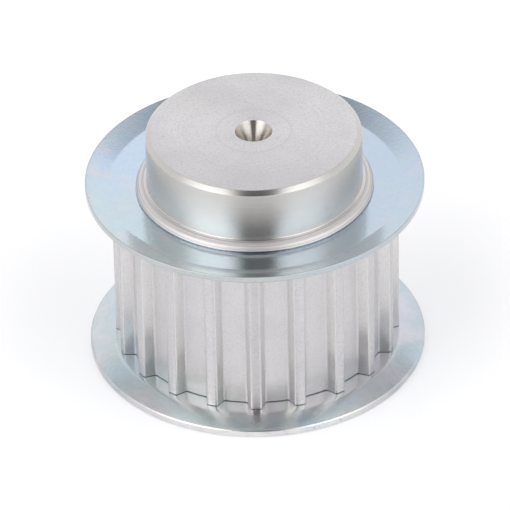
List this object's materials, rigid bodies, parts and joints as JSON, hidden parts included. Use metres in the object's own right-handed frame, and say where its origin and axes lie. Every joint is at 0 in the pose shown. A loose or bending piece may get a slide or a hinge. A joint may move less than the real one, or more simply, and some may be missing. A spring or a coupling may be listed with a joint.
{
  "type": "timing belt pulley",
  "caption": "Toothed pulley for a timing belt, with a hub, a centre hole in each end and a steel flange at each end of its teeth to keep the belt on. It is supplied unbored.",
  "frame": {"origin": "centre of the end face that the pulley stands on", "axes": "+Z along the pulley's axis towards the hub; one tooth points along +X"},
  "size_m": [0.0362, 0.0362, 0.027],
  "materials": {
    "turned_aluminium": "fine turned and hobbed, satin",
    "zinc_plated_steel": "bright zinc plated, blue passivated"
  },
  "bodies": {
    "root": {"pulley_body": "turned_aluminium", "end_side_flange": "zinc_plated_steel", "hub_side_flange": "zinc_plated_steel"}
  },
  "joints": []
}
